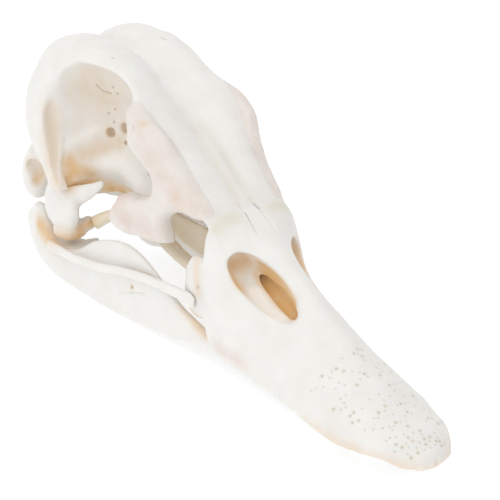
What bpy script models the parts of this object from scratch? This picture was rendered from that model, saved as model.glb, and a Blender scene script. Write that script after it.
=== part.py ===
"""Skull of a domestic duck, bones only, life size, resting on its lower jaw.

Lengths are in millimetres until a mesh is finished. A place in the skull is
(x, s, z): x out to the side from the middle plane, s back along the skull from
BILL_TIP_S to NAPE_S, z up from the table. The finished meshes are in metres,
with the bill toward -Y and the origin under the middle of the skull.
"""
import bpy
import bmesh
from math import cos, pi, radians, sin
from mathutils import Euler, Vector
from mathutils.geometry import tessellate_polygon

MM = 0.001

# Driving dimensions of the whole skull
BILL_TIP_S = 2.3
NAPE_S = 127.2
MIDDLE_S = (BILL_TIP_S + NAPE_S) / 2
HINGE_S = 62.5
SEAM = 0.36
EGG = 2.0
BONE_POWER = 2.3

# Upper bill
BILL_TOP = ((2.3, 5.2), (3.4, 6.1), (5.5, 7.5), (11.7, 10.2), (19.3, 13.0), (28.7, 17.2),
            (38.4, 21.8), (50.0, 27.1), (57.6, 30.2), (62.5, 32.3))
BILL_EDGE = ((2.3, 4.0), (5.0, 3.9), (7.0, 4.6), (9.6, 4.8), (13.0, 4.4), (16.5, 4.2), (25.0, 4.2),
             (34.0, 4.6), (46.0, 5.2), (55.0, 5.7), (58.0, 7.0), (60.0, 10.0), (62.5, 12.0))
BILL_HALF_WIDTH = ((2.3, 3.0), (3.0, 4.8), (4.2, 6.0), (6.3, 7.6), (9.6, 9.5), (14.0, 10.8),
                   (17.4, 11.8), (25.0, 11.8), (34.0, 11.4), (46.0, 11.7), (57.0, 11.7), (62.5, 10.7))
BILL_ROUNDNESS = ((2.3, 2.0), (16.5, 1.75), (34.0, 1.45), (50.0, 1.6), (56.0, 2.4), (60.0, 5.0),
                  (62.5, 8.0))
BILL_VAULT = ((2.3, 0.2), (8.0, 1.8), (25.0, 3.6), (45.0, 4.6), (57.0, 5.2), (62.5, 1.0))
BILL_RIM = 1.3
BILL_STEPS = 48
BILL_ROOF_SPANS = 24
BILL_PALATE_SPANS = 10
NOSTRIL_CENTRE = (6.1, 48.3, 21.6)
NOSTRIL_RADII = (4.9, 10.9, 3.9)
NOSTRIL_TURN = (15.0, -33.0, -7.0)
CHEEK_ROOT_CENTRE = (9.5, 63.8, 15.6)
CHEEK_ROOT_RADII = (1.6, 4.6, 6.8)
NASAL_CAVITY_CENTRE = (4.6, 63.4, 20.0)
NASAL_CAVITY_RADII = (3.4, 4.2, 7.0)
BILL_NAIL_CENTRE = (0.0, 5.0, 4.6)
BILL_NAIL_RADII = (4.6, 2.7, 2.3)

# Frontal roof between the hinge and the domes
ROOF_MIDDLE = ((62.5, 32.4), (67.0, 34.6), (74.0, 38.2), (83.0, 42.8), (91.0, 46.3), (98.0, 47.9),
               (106.0, 48.4))
ROOF_RIM_HEIGHT = ((62.5, 30.9), (67.0, 33.9), (72.0, 37.6), (78.0, 42.4), (84.0, 46.6),
                   (88.0, 48.3), (93.0, 50.1), (100.0, 50.3), (106.0, 49.2))
ROOF_HALF_WIDTH = ((62.5, 10.2), (67.0, 10.4), (72.0, 10.7), (78.0, 11.2), (84.0, 11.6),
                   (88.0, 10.9), (93.0, 10.3), (97.0, 10.7), (100.0, 12.0), (106.0, 14.6))
ROOF_CREST_RISE = ((62.5, -0.3), (70.0, 0.8), (78.0, 1.9), (87.0, 1.8), (98.0, 3.4), (106.0, 4.2))
ROOF_THICKNESS = ((62.5, 3.6), (70.0, 4.4), (86.0, 6.0), (106.0, 9.0))
ROOF_END_S = 106.0
ROOF_STEPS = 22
CREST_AT = 0.58
CREST_SHARE = 0.45
RIM_AT = 0.86
RIM_DEPTH = 2.2

# Braincase
DOME_CENTRE = (6.2, 105.5, 33.8)
DOME_RADII = (9.5, 19.8, 18.4)
DOME_POWER = 2.6
TEMPLE_CENTRE = (8.4, 112.0, 34.0)
TEMPLE_RADII = (8.3, 12.9, 13.3)
BASE_CENTRE = (0.0, 112.0, 25.4)
BASE_RADII = (15.0, 12.4, 9.6)
THROAT_CENTRE = (0.0, 102.0, 8.0)
THROAT_RADII = (16.0, 12.5, 11.5)
OCCIPUT_CENTRE = (0.0, 113.5, 29.0)
OCCIPUT_RADII = (11.5, 13.5, 14.0)
ORBIT_CENTRE = (17.5, 98.0, 35.4)
ORBIT_RADII = (15.2, 14.0, 15.6)
ORBIT_FLOOR_CENTRE = (15.8, 95.0, 19.0)
ORBIT_FLOOR_RADII = (13.4, 13.2, 17.0)
SOCKET_POWER = 2.6
ORBIT_RIM = ((11.3, 84.2, 46.6, 0.6, 0.6), (11.2, 86.0, 47.8, 0.6, 0.6), (10.5, 88.0, 48.2, 0.6, 0.6),
             (10.1, 90.0, 49.1, 0.6, 0.6), (9.9, 93.0, 50.3, 0.6, 0.6), (10.2, 96.0, 50.9, 0.6, 0.6),
             (11.0, 99.0, 50.6, 0.6, 0.6), (11.4, 102.0, 50.0, 0.6, 0.6), (11.2, 105.0, 49.6, 0.6, 0.6))
POSTORBITAL = ((113.4, 40.0), (112.2, 34.0), (110.6, 28.6), (108.2, 24.4), (105.0, 21.2),
               (107.6, 20.8), (111.0, 22.6), (114.2, 26.0), (116.6, 31.0), (117.0, 40.0))
POSTORBITAL_X = ((104.0, 15.2), (110.0, 14.9), (117.0, 13.9))
POSTORBITAL_THICKNESS = 2.9
POSTORBITAL_HOLLOW_CENTRE = (14.2, 111.3, 32.6)
POSTORBITAL_HOLLOW_RADII = (1.3, 1.4, 7.2)
POSTORBITAL_HOLLOW_TURN = (-18.0, 0.0, 0.0)
SEPTUM_OUTLINE = ((66.0, 27.0), (66.0, 34.0), (80.0, 42.0), (100.0, 46.0), (112.0, 34.0),
                  (110.0, 17.4), (104.0, 17.8), (95.0, 20.2), (78.0, 21.8), (69.0, 22.6))
SEPTUM_THICKNESS = 1.7
ROSTRUM = ((0.0, 109.0, 17.4, 3.2, 2.2), (0.0, 102.0, 18.9, 1.9, 1.8), (0.0, 92.0, 21.4, 1.2, 1.3),
           (0.0, 78.0, 22.6, 1.0, 1.1), (0.0, 66.5, 23.4, 0.8, 0.9))
EAR_WING_CENTRE = (11.3, 120.6, 18.8)
EAR_WING_RADII = (4.0, 3.0, 6.8)
EAR_HOLLOW_CENTRE = (14.8, 117.0, 20.4)
EAR_HOLLOW_RADII = (3.0, 3.2, 3.2)
CONDYLE_CENTRE = (0.0, 123.6, 16.4)
CONDYLE_RADIUS = 2.0
SPINAL_HOLE_CENTRE = (0.0, 127.0, 21.0)
SPINAL_HOLE_RADII = (3.8, 5.0, 4.2)
FONTANELLE_CENTRE = (6.4, 125.4, 26.5)
FONTANELLE_RADII = (1.5, 4.0, 2.9)

# Lacrimal
LACRIMAL_OUTLINE = ((87.9, 46.8), (84.6, 46.9), (80.5, 45.6), (77.0, 44.0), (74.6, 41.4), (71.0, 37.6),
                    (67.0, 34.4), (63.2, 31.4), (65.4, 29.4), (71.6, 28.8), (74.8, 26.0),
                    (73.4, 21.6), (76.4, 20.2), (81.2, 19.9), (86.2, 18.3), (91.0, 18.4),
                    (92.8, 20.6), (91.0, 24.0), (86.6, 27.6), (82.6, 28.2), (78.6, 30.6),
                    (78.9, 34.6), (82.8, 36.8), (86.5, 38.6), (86.9, 42.4))
LACRIMAL_X = ((62.0, 9.0), (70.0, 9.6), (74.5, 10.5), (77.5, 11.6), (82.0, 12.2), (88.0, 12.0),
              (93.0, 11.4))
LACRIMAL_THICKNESS = 3.0
LACRIMAL_BEVEL = 1.7

# Jugal bar, quadrate, pterygoid and palate
JUGAL = ((16.6, 108.2, 7.6, 0.6, 1.1), (16.3, 100.3, 8.1, 0.55, 0.9), (15.8, 90.6, 9.8, 0.55, 0.9),
         (15.0, 83.8, 11.7, 0.55, 0.9), (13.9, 76.0, 13.1, 0.55, 1.0), (12.3, 68.0, 13.3, 0.6, 1.2),
         (11.1, 62.9, 12.9, 0.8, 1.6))
QUADRATE_BODY_CENTRE = (12.7, 109.4, 15.2)
QUADRATE_BODY_RADII = (1.8, 5.8, 5.4)
QUADRATE_HEAD = ((12.5, 109.5, 16.5, 1.5, 2.2), (13.0, 112.2, 21.0, 1.4, 1.8),
                 (13.0, 113.6, 24.5, 1.3, 1.5))
QUADRATE_SPIKE = ((12.0, 107.0, 18.0, 1.0, 2.4), (10.6, 103.0, 20.6, 0.8, 1.7),
                  (9.0, 99.6, 23.7, 0.4, 0.5))
QUADRATE_FOOT_CENTRE = (11.8, 107.2, 10.6)
QUADRATE_FOOT_RADII = (3.6, 3.2, 2.1)
QUADRATE_KNOB_CENTRE = (8.8, 105.0, 12.0)
QUADRATE_KNOB_RADIUS = 1.5
PTERYGOID = ((8.2, 103.4, 12.6, 1.3, 1.5), (6.0, 100.6, 15.0, 1.0, 1.2), (3.4, 96.0, 17.2, 1.1, 1.3))
PALATINE = ((4.0, 62.9, 13.6, 1.3, 0.9), (4.8, 70.0, 14.6, 1.5, 0.8), (4.9, 80.0, 16.2, 1.8, 0.9),
            (3.6, 88.0, 17.4, 1.6, 1.1), (1.6, 94.0, 18.0, 1.2, 1.0))
VOMER = ((0.0, 66.0, 18.4, 0.5, 3.4), (0.0, 74.0, 18.2, 0.5, 3.6), (0.0, 84.0, 18.0, 0.6, 3.2),
         (0.0, 92.0, 17.8, 1.2, 1.4))

# Lower jaw
JAW_TIP = ((5.5, 22.0, 3.1, 1.2, 3.2), (4.7, 17.6, 3.0, 1.3, 3.0), (3.2, 14.6, 2.8, 1.4, 2.7),
           (0.0, 13.0, 2.6, 1.6, 2.5), (-3.2, 14.6, 2.8, 1.4, 2.7), (-4.7, 17.6, 3.0, 1.3, 3.0),
           (-5.5, 22.0, 3.1, 1.2, 3.2))
JAW_LOW_X = ((20.0, 4.6), (35.0, 6.2), (50.0, 7.6), (60.0, 9.3), (70.0, 11.4), (80.0, 12.7),
             (92.0, 13.6), (104.0, 14.1), (114.0, 13.7), (122.0, 12.4))
JAW_LOW_Z = ((20.0, -0.1), (35.0, 0.8), (50.0, 2.2), (60.0, 3.2), (70.0, 1.9), (80.0, 0.6),
             (90.0, -0.3), (108.0, -0.3), (116.0, 0.9), (120.0, 3.2), (122.0, 6.0))
JAW_TOP_X = ((20.0, 6.6), (35.0, 7.6), (50.0, 8.9), (60.0, 10.0), (70.0, 11.4), (80.0, 12.2),
             (92.0, 12.6), (104.0, 13.4), (114.0, 13.4), (122.0, 12.2))
JAW_TOP_Z = ((20.0, 6.3), (35.0, 6.6), (50.0, 6.9), (60.0, 7.6), (66.0, 9.4), (72.0, 12.4),
             (79.0, 15.8), (85.0, 16.7), (91.0, 15.2), (97.0, 12.2), (102.0, 8.2), (109.0, 7.2),
             (114.5, 9.6), (118.0, 12.6), (122.0, 9.0))
JAW_POWER = 2.8
JAW_STEPS = 52
JAW_SIDES = 20
JAW_THICKNESS = ((20.0, 2.3), (60.0, 2.2), (80.0, 2.1), (98.0, 2.8), (108.0, 3.4), (122.0, 2.0))
JAW_SOCKET_CENTRE = (11.0, 106.6, 4.6)
JAW_SOCKET_RADII = (4.4, 4.8, 3.0)
FLOOR_BLOCK = 200.0
JAW_INNER_SPUR = ((9.0, 106.5, 5.2, 2.0, 2.0), (5.6, 105.0, 7.0, 0.9, 0.9))

# How fine the bones are made: spans, sides, voxel, smoothing rounds and triangles of each
ROD_SPANS = 5
ROD_SIDES = 16
FINE_VOXEL = 0.36
SMOOTHING = {"cranium": 6, "upper_bill": 6, "mandible": 4, "lacrimal_left": 6,
             "quadrate_left": 3, "palate": 3, "pterygoid_left": 2, "jugal_bar_left": 2}
TRIANGLES = {"cranium": 4600, "upper_bill": 2700, "mandible": 2600, "lacrimal_left": 700,
             "quadrate_left": 440, "palate": 700, "pterygoid_left": 160, "jugal_bar_left": 260}
BONE_COLOUR = (0.82, 0.80, 0.76)
PINK_COLOUR = (0.78, 0.72, 0.69)
OCHRE_COLOUR = (0.76, 0.66, 0.50)


def along(profile, s):
    """Value of a profile at s, on a smooth curve through its (s, value) points."""
    if s <= profile[0][0]:
        return profile[0][1]
    if s >= profile[-1][0]:
        return profile[-1][1]
    i = max(k for k in range(len(profile) - 1) if profile[k][0] <= s)
    (s0, v0), (s1, v1) = profile[i], profile[i + 1]
    before = profile[max(i - 1, 0)]
    after = profile[min(i + 2, len(profile) - 1)]
    slope0 = (v1 - before[1]) / (s1 - before[0])
    slope1 = (after[1] - v0) / (after[0] - s0)
    t = (s - s0) / (s1 - s0)
    step = s1 - s0
    return (v0 * (2 * t ** 3 - 3 * t ** 2 + 1) + step * slope0 * (t ** 3 - 2 * t ** 2 + t)
            + v1 * (3 * t ** 2 - 2 * t ** 3) + step * slope1 * (t ** 3 - t ** 2))


def smooth_path(stations, per_span, closed=False):
    """More stations between the given ones, on a Catmull-Rom curve."""
    points = [Vector(p) for p in stations]
    count = len(points)
    spans = count if closed else count - 1

    def station(k):
        return points[k % count] if closed else points[min(max(k, 0), count - 1)]

    path = []
    for i in range(spans):
        a, b, c, d = station(i - 1), station(i), station(i + 1), station(i + 2)
        for j in range(per_span):
            t = j / per_span
            path.append(0.5 * (2 * b + (c - a) * t + (2 * a - 5 * b + 4 * c - d) * t ** 2
                               + (3 * b - a - 3 * c + d) * t ** 3))
    if not closed:
        path.append(points[-1])
    return path


def mesh_object(name, bm):
    """An object from a mesh drawn in millimetres as (x, s, z)."""
    for vert in bm.verts:
        x, s, z = vert.co
        vert.co = Vector((x, s - MIDDLE_S, z)) * MM
    bm.normal_update()
    bmesh.ops.recalc_face_normals(bm, faces=bm.faces)
    if bm.calc_volume(signed=True) < 0:
        bmesh.ops.reverse_faces(bm, faces=bm.faces)
    mesh = bpy.data.meshes.new(name)
    bm.to_mesh(mesh)
    bm.free()
    obj = bpy.data.objects.new(name, mesh)
    bpy.context.scene.collection.objects.link(obj)
    return obj


def loft(name, rings):
    """A closed skin over rings of the same count, with flat ends."""
    bm = bmesh.new()
    loops = [[bm.verts.new(p) for p in ring] for ring in rings]
    for low, high in zip(loops, loops[1:]):
        for i in range(len(low)):
            j = (i + 1) % len(low)
            bm.faces.new((low[i], low[j], high[j], high[i]))
    bm.faces.new(loops[0])
    bm.faces.new(loops[-1])
    return mesh_object(name, bm)


def blob(name, centre, radii, power=EGG, turn=(0.0, 0.0, 0.0), side=1):
    """An egg of the given radii, or a rounded box where the power is above 2."""
    bm = bmesh.new()
    bmesh.ops.create_icosphere(bm, subdivisions=4, radius=1.0)
    spin = Euler([radians(a) for a in turn]).to_matrix()
    for vert in bm.verts:
        reach = sum(abs(c) ** power for c in vert.co) ** (-1 / power)
        offset = spin @ Vector([c * reach * r for c, r in zip(vert.co, radii)])
        place = Vector(centre) + offset
        vert.co = Vector((side * place.x, place.y, place.z))
    return mesh_object(name, bm)


def sweep(name, stations, power=EGG, side=1):
    """A rod along (x, s, z, half width, half height) stations."""
    path = smooth_path(stations, ROD_SPANS)
    rings = []
    for i, station in enumerate(path):
        ahead = path[min(i + 1, len(path) - 1)].to_3d() - path[max(i - 1, 0)].to_3d()
        across = ahead.cross(Vector((0, 0, 1))).normalized()
        up = across.cross(ahead).normalized()
        ring = []
        for k in range(ROD_SIDES):
            angle = 2 * pi * k / ROD_SIDES
            reach = (abs(cos(angle)) ** power + abs(sin(angle)) ** power) ** (-1 / power)
            spot = (station.to_3d() + across * cos(angle) * reach * station[3]
                    + up * sin(angle) * reach * station[4])
            ring.append((side * spot.x, spot.y, spot.z))
        rings.append(ring)
    return loft(name, rings)


def plate(name, outline, thickness, x_at, bevel=0.0, side=1):
    """A plate whose outline is drawn from the side, standing at x_at(s), its outer edge rounded off."""
    bm = bmesh.new()
    edge = [p.to_2d() for p in smooth_path([(s, z, 0) for s, z in outline], 4, closed=True)]
    turn = 1 if sum(a.cross(b) for a, b in zip(edge, edge[1:] + edge[:1])) > 0 else -1
    inward = []
    for i in range(len(edge)):
        ahead = edge[(i + 1) % len(edge)] - edge[i - 1]
        inward.append(turn * Vector((-ahead.y, ahead.x)).normalized())
    loops = []
    for share in (0.0, 0.5, 0.8, 0.95, 1.0):
        shrink = bevel * (1 - (1 - share ** 2) ** 0.5)
        ring = [spot + shrink * way for spot, way in zip(edge, inward)]
        loops.append([bm.verts.new((side * (x_at(s) + thickness * (share - 0.5)), s, z)) for s, z in ring])
    for inner, outer in zip(loops, loops[1:]):
        for i in range(len(edge)):
            j = (i + 1) % len(edge)
            bm.faces.new((inner[i], inner[j], outer[j], outer[i]))
    for loop in (loops[0], loops[-1]):
        flat = [Vector((vert.co.y, vert.co.z, 0)) for vert in loop]
        for corners in tessellate_polygon([flat]):
            bm.faces.new([loop[k] for k in corners])
    return mesh_object(name, bm)


def apply_modifiers(obj):
    """The object's mesh as its modifiers leave it."""
    graph = bpy.context.evaluated_depsgraph_get()
    graph.update()
    mesh = bpy.data.meshes.new_from_object(obj.evaluated_get(graph))
    obj.modifiers.clear()
    obj.data = mesh


def combine(obj, others, operation, solver="EXACT"):
    """A Boolean of the object with several others, which are used up."""
    for other in others:
        cut = obj.modifiers.new("cut", "BOOLEAN")
        cut.operation = operation
        cut.object = other
        cut.solver = solver
        apply_modifiers(obj)
        bpy.data.objects.remove(other)


def keep_largest(obj):
    """Drop every loose scrap and keep the largest closed surface."""
    bm = bmesh.new()
    bm.from_mesh(obj.data)
    left = set(bm.verts)
    shells = []
    while left:
        front = [next(iter(left))]
        left.discard(front[0])
        shell = []
        while front:
            vert = front.pop()
            shell.append(vert)
            for edge in vert.link_edges:
                other = edge.other_vert(vert)
                if other in left:
                    left.discard(other)
                    front.append(other)
        shells.append(shell)
    shells.sort(key=len)
    for shell in shells[:-1]:
        bmesh.ops.delete(bm, geom=shell, context="VERTS")
    bm.to_mesh(obj.data)
    bm.free()


def grown(bone):
    """A copy of a finished bone, thicker by the seam, that cuts its neighbour."""
    copy = bone.copy()
    copy.data = bone.data.copy()
    bpy.context.scene.collection.objects.link(copy)
    swell = copy.modifiers.new("swell", "DISPLACE")
    swell.strength = SEAM * MM
    swell.mid_level = 0.0
    apply_modifiers(copy)
    fuse(copy)
    return copy


def make_room(obj, neighbours):
    """Cut the object back from finished bones by the seam. Fine, closed meshes suit MANIFOLD."""
    combine(obj, [grown(bone) for bone in neighbours], "DIFFERENCE", "MANIFOLD")


def floor_cutter():
    """A block under the table's top, which leaves flats at z = 0."""
    bm = bmesh.new()
    bmesh.ops.create_cube(bm, size=FLOOR_BLOCK)
    for vert in bm.verts:
        vert.co += Vector((0.0, MIDDLE_S, -FLOOR_BLOCK / 2))
    return mesh_object("floor", bm)


def fuse(obj):
    """One even closed skin over all that the object holds."""
    skin = obj.modifiers.new("skin", "REMESH")
    skin.mode = "VOXEL"
    skin.voxel_size = FINE_VOXEL * MM
    apply_modifiers(obj)
    keep_largest(obj)


def finish(obj, name, colour):
    """Fuse the surface, round it like bone and bring it to its triangle count."""
    fuse(obj)
    soften = obj.modifiers.new("soften", "SMOOTH")
    soften.factor = 0.5
    soften.iterations = SMOOTHING[name]
    apply_modifiers(obj)
    obj.data.calc_loop_triangles()
    thin = obj.modifiers.new("thin", "DECIMATE")
    thin.ratio = TRIANGLES[name] / len(obj.data.loop_triangles)
    thin.use_collapse_triangulate = True
    apply_modifiers(obj)
    keep_largest(obj)
    obj.name = name
    obj.data.name = name
    obj.data.shade_smooth()
    paint(obj, name, colour)


def paint(obj, name, colour):
    """One plain bone material for the object."""
    material = bpy.data.materials.new(name)
    material.use_nodes = True
    shader = material.node_tree.nodes["Principled BSDF"]
    shader.inputs["Base Color"].default_value = (*colour, 1.0)
    shader.inputs["Roughness"].default_value = 0.6
    obj.data.materials.clear()
    obj.data.materials.append(material)


def mirrored(bone, name):
    """The same bone of the other side."""
    other = bone.copy()
    other.data = bone.data.copy()
    other.name = name
    other.data.name = name
    bpy.context.scene.collection.objects.link(other)
    bm = bmesh.new()
    bm.from_mesh(other.data)
    for vert in bm.verts:
        vert.co.x = -vert.co.x
    bmesh.ops.reverse_faces(bm, faces=bm.faces)
    bm.to_mesh(other.data)
    bm.free()
    return other


def both(make, *values, **options):
    """A shape and its mirror image."""
    return [make("half", *values, side=side, **options) for side in (-1, 1)]


def roof():
    """The frontal bones: a trough between two crests, wider toward the eyes."""
    rings = []
    for i in range(ROOF_STEPS + 1):
        s = HINGE_S + (ROOF_END_S - HINGE_S) * i / ROOF_STEPS
        middle = along(ROOF_MIDDLE, s)
        rim = along(ROOF_RIM_HEIGHT, s)
        half = along(ROOF_HALF_WIDTH, s)
        crest = middle + (rim - middle) * CREST_SHARE + along(ROOF_CREST_RISE, s)
        deep = along(ROOF_THICKNESS, s)
        right = [(CREST_AT / 2 * half, (middle + crest) / 2), (CREST_AT * half, crest),
                 (RIM_AT * half, rim + (crest - rim) / 3), (half, rim - RIM_DEPTH / 3),
                 (RIM_AT * half, rim - RIM_DEPTH), (half / 2, middle - deep / 2)]
        left = [(-x, z) for x, z in reversed(right)]
        ring = smooth_path([(x, z, 0) for x, z in [(0, middle)] + right + [(0, middle - deep)] + left],
                           3, closed=True)
        rings.append([(p.x, s, p.y) for p in ring])
    return loft("roof", rings)


def shape_cranium():
    """Braincase, frontals, the wall between the orbits and the processes round them.

    EXACT loses one of the two windows at the back, where these eggs cross, so MANIFOLD is used."""
    skull = blob("cranium", BASE_CENTRE, BASE_RADII, BONE_POWER)
    parts = [roof(), blob("occiput", OCCIPUT_CENTRE, OCCIPUT_RADII, BONE_POWER)]
    parts += both(blob, DOME_CENTRE, DOME_RADII, DOME_POWER)
    parts += both(blob, TEMPLE_CENTRE, TEMPLE_RADII, BONE_POWER)
    combine(skull, parts, "UNION", "MANIFOLD")
    cutters = both(blob, ORBIT_CENTRE, ORBIT_RADII, SOCKET_POWER)
    cutters += both(blob, ORBIT_FLOOR_CENTRE, ORBIT_FLOOR_RADII, SOCKET_POWER)
    cutters += both(blob, FONTANELLE_CENTRE, FONTANELLE_RADII)
    cutters.append(blob("spinal_hole", SPINAL_HOLE_CENTRE, SPINAL_HOLE_RADII))
    cutters.append(blob("throat", THROAT_CENTRE, THROAT_RADII))
    combine(skull, cutters, "DIFFERENCE", "MANIFOLD")
    additions = both(plate, POSTORBITAL, POSTORBITAL_THICKNESS, lambda s: along(POSTORBITAL_X, s))
    additions += both(blob, EAR_WING_CENTRE, EAR_WING_RADII)
    additions.append(plate("septum", SEPTUM_OUTLINE, SEPTUM_THICKNESS, lambda s: 0.0))
    additions.append(sweep("rostrum", ROSTRUM))
    additions.append(blob("condyle", CONDYLE_CENTRE, (CONDYLE_RADIUS,) * 3))
    additions += both(sweep, ORBIT_RIM)
    combine(skull, additions, "UNION", "MANIFOLD")
    hollows = both(blob, EAR_HOLLOW_CENTRE, EAR_HOLLOW_RADII)
    hollows += both(blob, POSTORBITAL_HOLLOW_CENTRE, POSTORBITAL_HOLLOW_RADII, EGG, POSTORBITAL_HOLLOW_TURN)
    combine(skull, hollows, "DIFFERENCE", "MANIFOLD")
    return skull


def make_cranium(lacrimal):
    """The braincase and frontals, with room for the two lacrimals."""
    skull = shape_cranium()
    fuse(skull)
    other = mirrored(lacrimal, "other_side")
    make_room(skull, [lacrimal, other])
    bpy.data.objects.remove(other)
    finish(skull, "cranium", BONE_COLOUR)
    return skull


def bill_ring(s):
    """Section of the upper bill: a rounded roof over a hollow palate."""
    top = along(BILL_TOP, s)
    edge = along(BILL_EDGE, s)
    half = along(BILL_HALF_WIDTH, s)
    power = along(BILL_ROUNDNESS, s)
    vault = along(BILL_VAULT, s)
    ring = []
    for k in range(BILL_ROOF_SPANS + 1):
        angle = pi * k / BILL_ROOF_SPANS
        reach = (abs(cos(angle)) ** power + sin(angle) ** power) ** (-1 / power)
        ring.append((half * reach * cos(angle), s, edge + (top - edge) * reach * sin(angle)))
    inner = max(half - BILL_RIM, 0.6 * half)
    for k in range(BILL_PALATE_SPANS + 1):
        share = -1 + 2 * k / BILL_PALATE_SPANS
        ring.append((inner * share, s, edge + vault * (1 - share ** 4)))
    return ring


def make_upper_bill():
    """Premaxilla, nasals and maxilla in one, with the two nostrils."""
    step = (HINGE_S - SEAM - BILL_TIP_S) / BILL_STEPS
    bill = loft("upper_bill", [bill_ring(BILL_TIP_S + step * i) for i in range(BILL_STEPS + 1)])
    additions = both(blob, CHEEK_ROOT_CENTRE, CHEEK_ROOT_RADII, BONE_POWER)
    additions.append(blob("nail", BILL_NAIL_CENTRE, BILL_NAIL_RADII, BONE_POWER))
    combine(bill, additions, "UNION")
    cutters = both(blob, NASAL_CAVITY_CENTRE, NASAL_CAVITY_RADII, BONE_POWER)
    for side in (-1, 1):
        cutters.append(blob("nostril", NOSTRIL_CENTRE, NOSTRIL_RADII, EGG, NOSTRIL_TURN, side))
    combine(bill, cutters, "DIFFERENCE")
    finish(bill, "upper_bill", BONE_COLOUR)
    return bill


def jaw_side(side):
    """One branch of the lower jaw, a thin plate that leans inward."""
    rings = []
    start = JAW_LOW_X[0][0]
    end = JAW_LOW_X[-1][0]
    for i in range(JAW_STEPS + 1):
        s = start + (end - start) * i / JAW_STEPS
        low = Vector((along(JAW_LOW_X, s), along(JAW_LOW_Z, s)))
        high = Vector((along(JAW_TOP_X, s), along(JAW_TOP_Z, s)))
        half = along(JAW_THICKNESS, s) / 2
        middle = (low + high) / 2
        up = (high - low) / 2
        across = Vector((up.y, -up.x)).normalized()
        ring = []
        for k in range(JAW_SIDES):
            angle = 2 * pi * k / JAW_SIDES
            reach = (abs(cos(angle)) ** JAW_POWER + abs(sin(angle)) ** JAW_POWER) ** (-1 / JAW_POWER)
            spot = middle + across * half * reach * cos(angle) + up * reach * sin(angle)
            ring.append((side * spot.x, s, spot.y))
        rings.append(ring)
    return loft("jaw_side", rings)


def make_mandible(bill):
    """The lower jaw: two branches that meet at the front."""
    jaw = sweep("mandible", JAW_TIP, BONE_POWER)
    parts = [jaw_side(-1), jaw_side(1)]
    parts += both(blob, JAW_SOCKET_CENTRE, JAW_SOCKET_RADII, BONE_POWER)
    parts += both(sweep, JAW_INNER_SPUR)
    combine(jaw, parts, "UNION")
    make_room(jaw, [bill])
    finish(jaw, "mandible", BONE_COLOUR)
    combine(jaw, [floor_cutter()], "DIFFERENCE")
    return jaw


def make_lacrimal(bill):
    """Porous bone at the front of the orbit, with its blade running back under the eye."""
    bone = plate("lacrimal_left", LACRIMAL_OUTLINE, LACRIMAL_THICKNESS,
                 lambda s: along(LACRIMAL_X, s), LACRIMAL_BEVEL)
    make_room(bone, [bill])
    finish(bone, "lacrimal_left", PINK_COLOUR)
    mirrored(bone, "lacrimal_right")
    return bone


def make_quadrate(cranium, mandible):
    """The bone that carries the lower jaw, with its forward spike."""
    bone = blob("quadrate_left", QUADRATE_BODY_CENTRE, QUADRATE_BODY_RADII, BONE_POWER)
    parts = [sweep("head", QUADRATE_HEAD), sweep("spike", QUADRATE_SPIKE),
             blob("foot", QUADRATE_FOOT_CENTRE, QUADRATE_FOOT_RADII, BONE_POWER),
             blob("knob", QUADRATE_KNOB_CENTRE, (QUADRATE_KNOB_RADIUS,) * 3)]
    combine(bone, parts, "UNION")
    make_room(bone, [cranium, mandible])
    finish(bone, "quadrate_left", BONE_COLOUR)
    mirrored(bone, "quadrate_right")
    return bone


def make_palate(cranium, bill):
    """Palatines and vomer, joined at the back under the rostrum."""
    bone = sweep("palate", VOMER)
    parts = both(sweep, PALATINE)
    combine(bone, parts, "UNION")
    make_room(bone, [cranium, bill])
    finish(bone, "palate", OCHRE_COLOUR)
    return bone


def make_pterygoid(cranium, quadrate, palate):
    """The short rod from the quadrate forward to the palate."""
    bone = sweep("pterygoid_left", PTERYGOID)
    make_room(bone, [cranium, quadrate, palate])
    finish(bone, "pterygoid_left", OCHRE_COLOUR)
    mirrored(bone, "pterygoid_right")


def make_jugal(neighbours):
    """The slender cheek bar from the bill to the quadrate."""
    bone = sweep("jugal_bar_left", JUGAL)
    make_room(bone, neighbours)
    finish(bone, "jugal_bar_left", BONE_COLOUR)
    mirrored(bone, "jugal_bar_right")


for old in list(bpy.data.objects):
    bpy.data.objects.remove(old)
bill_bone = make_upper_bill()
lacrimal_bone = make_lacrimal(bill_bone)
cranium_bone = make_cranium(lacrimal_bone)
jaw_bone = make_mandible(bill_bone)
quadrate_bone = make_quadrate(cranium_bone, jaw_bone)
palate_bone = make_palate(cranium_bone, bill_bone)
make_pterygoid(cranium_bone, quadrate_bone, palate_bone)
make_jugal([bill_bone, jaw_bone, lacrimal_bone, quadrate_bone])
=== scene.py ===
from math import cos, radians, sin
from random import Random

import bmesh
import bpy
import numpy as np
from mathutils import Euler, Matrix, Vector
from mathutils.bvhtree import BVHTree


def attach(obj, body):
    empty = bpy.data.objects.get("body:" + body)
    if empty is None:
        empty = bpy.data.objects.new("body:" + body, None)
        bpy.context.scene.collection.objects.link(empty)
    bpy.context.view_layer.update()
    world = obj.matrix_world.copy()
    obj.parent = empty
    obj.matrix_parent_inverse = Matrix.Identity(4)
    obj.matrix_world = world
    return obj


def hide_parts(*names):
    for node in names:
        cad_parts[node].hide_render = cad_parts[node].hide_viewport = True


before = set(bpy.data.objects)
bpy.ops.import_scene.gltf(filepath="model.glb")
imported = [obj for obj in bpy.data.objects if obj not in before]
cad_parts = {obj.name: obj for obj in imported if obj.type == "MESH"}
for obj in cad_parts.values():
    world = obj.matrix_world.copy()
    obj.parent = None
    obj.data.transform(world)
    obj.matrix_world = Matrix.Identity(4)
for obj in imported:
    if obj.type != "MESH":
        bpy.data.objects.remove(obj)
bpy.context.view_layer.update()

# Camera: a long lens, above and in front of the skull's right side, as in the photograph.
# Here and below a place is in mm: x to the bird's right, s back from the tip of the bill, z above the table.
# The camera's place and lens come from the skull's outline in the picture.
MM_PER_METRE = 1000
MIDDLE = 64.75
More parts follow.
